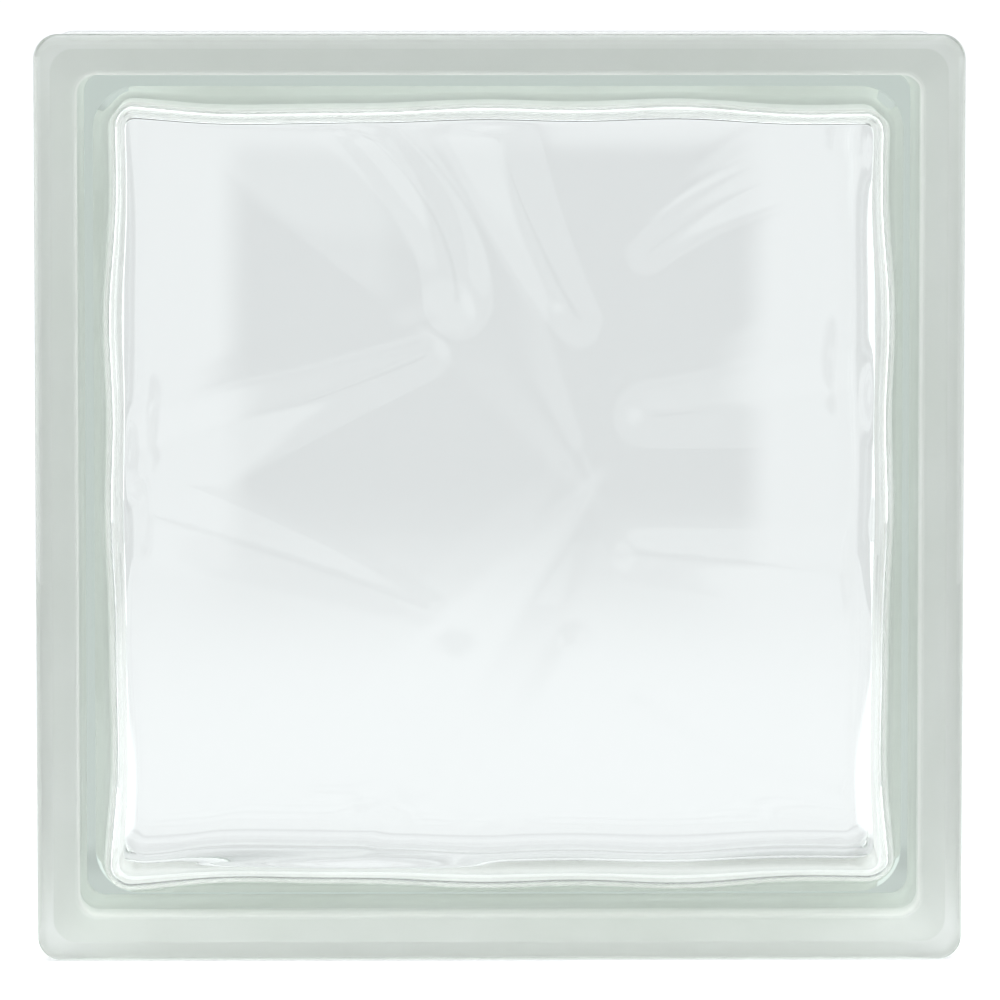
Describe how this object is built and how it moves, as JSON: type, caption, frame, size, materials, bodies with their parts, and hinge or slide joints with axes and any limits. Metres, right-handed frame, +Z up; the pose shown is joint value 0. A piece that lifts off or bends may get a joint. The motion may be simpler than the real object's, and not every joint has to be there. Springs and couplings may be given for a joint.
{
  "type": "glass block",
  "caption": "Square hollow glass block with waved clear panes, a rounded rim round each face and a mortar channel round its edges, for building light walls.",
  "frame": {"origin": "middle of the base, on the floor that the two rims stand on", "axes": "+Z up, +X across the face to the right as seen from the front, front face towards -Y"},
  "size_m": [0.19, 0.08, 0.19],
  "materials": {
    "glass": "clear fire-polished glass with a faint green tint, and a pale translucent coat on the edges that take the mortar"
  },
  "bodies": {
    "root": {"glass_block": "glass"}
  },
  "joints": []
}
